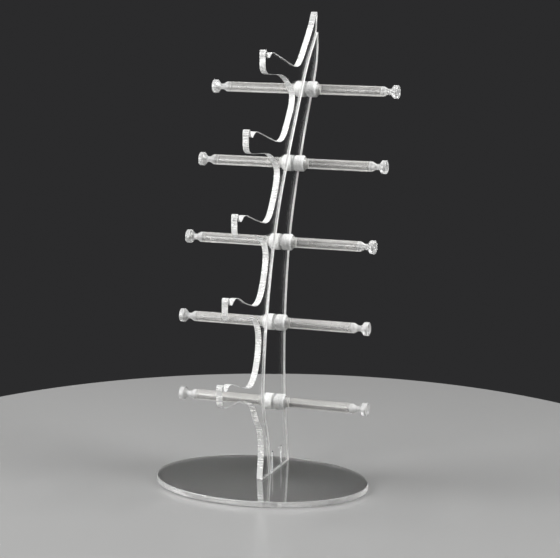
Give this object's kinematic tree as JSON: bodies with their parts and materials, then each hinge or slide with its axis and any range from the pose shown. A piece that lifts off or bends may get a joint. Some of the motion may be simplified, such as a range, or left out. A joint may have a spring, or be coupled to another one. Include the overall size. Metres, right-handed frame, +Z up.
{
  "type": "eyewear display stand",
  "caption": "Tiered counter stand for glasses: a clear hooked upright leaning back on an oval base, with turned clear rods through it that end in knobs.",
  "frame": {"origin": "centre of the oval base, on its underside, where the stand rests on a counter", "axes": "+Z up, +X along the rods to the right seen from the front, -Y the side that the hooks face, +Y the side that the upright leans back to"},
  "size_m": [0.175, 0.2162, 0.3705],
  "materials": {
    "clear_sheet": "clear cast acrylic sheet, faces polished, edges cut by laser with fine upright striations",
    "clear_rod": "clear turned acrylic with fine turning marks",
    "screw_steel": "zinc plated, dull"
  },
  "bodies": {
    "stand": {"base_plate": "clear_sheet", "hook_strip": "clear_sheet", "spine": "clear_sheet", "base_screw_1": "screw_steel", "base_screw_2": "screw_steel", "stud_1": "clear_rod", "stud_2": "clear_rod", "stud_3": "clear_rod", "stud_4": "clear_rod", "stud_5": "clear_rod"},
    "rod_1_right": {"rod_1_right": "clear_rod"},
    "rod_1_left": {"rod_1_left": "clear_rod"},
    "rod_2_right": {"rod_2_right": "clear_rod"},
    "rod_2_left": {"rod_2_left": "clear_rod"},
    "rod_3_right": {"rod_3_right": "clear_rod"},
    "rod_3_left": {"rod_3_left": "clear_rod"},
    "rod_4_right": {"rod_4_right": "clear_rod"},
    "rod_4_left": {"rod_4_left": "clear_rod"},
    "rod_5_right": {"rod_5_right": "clear_rod"},
    "rod_5_left": {"rod_5_left": "clear_rod"}
  },
  "joints": [
    {"name": "unscrew_1_right", "type": "slide", "parent": "stand", "child": "rod_1_right", "axis": [1, 0, 0], "range_m": [0, 0.012]},
    {"name": "unscrew_1_left", "type": "slide", "parent": "stand", "child": "rod_1_left", "axis": [-1, 0, 0], "range_m": [0, 0.012]},
    {"name": "unscrew_2_right", "type": "slide", "parent": "stand", "child": "rod_2_right", "axis": [1, 0, 0], "range_m": [0, 0.012]},
    {"name": "unscrew_2_left", "type": "slide", "parent": "stand", "child": "rod_2_left", "axis": [-1, 0, 0], "range_m": [0, 0.012]},
    {"name": "unscrew_3_right", "type": "slide", "parent": "stand", "child": "rod_3_right", "axis": [1, 0, 0], "range_m": [0, 0.012]},
    {"name": "unscrew_3_left", "type": "slide", "parent": "stand", "child": "rod_3_left", "axis": [-1, 0, 0], "range_m": [0, 0.012]},
    {"name": "unscrew_4_right", "type": "slide", "parent": "stand", "child": "rod_4_right", "axis": [1, 0, 0], "range_m": [0, 0.012]},
    {"name": "unscrew_4_left", "type": "slide", "parent": "stand", "child": "rod_4_left", "axis": [-1, 0, 0], "range_m": [0, 0.012]},
    {"name": "unscrew_5_right", "type": "slide", "parent": "stand", "child": "rod_5_right", "axis": [1, 0, 0], "range_m": [0, 0.012]},
    {"name": "unscrew_5_left", "type": "slide", "parent": "stand", "child": "rod_5_left", "axis": [-1, 0, 0], "range_m": [0, 0.012]}
  ]
}
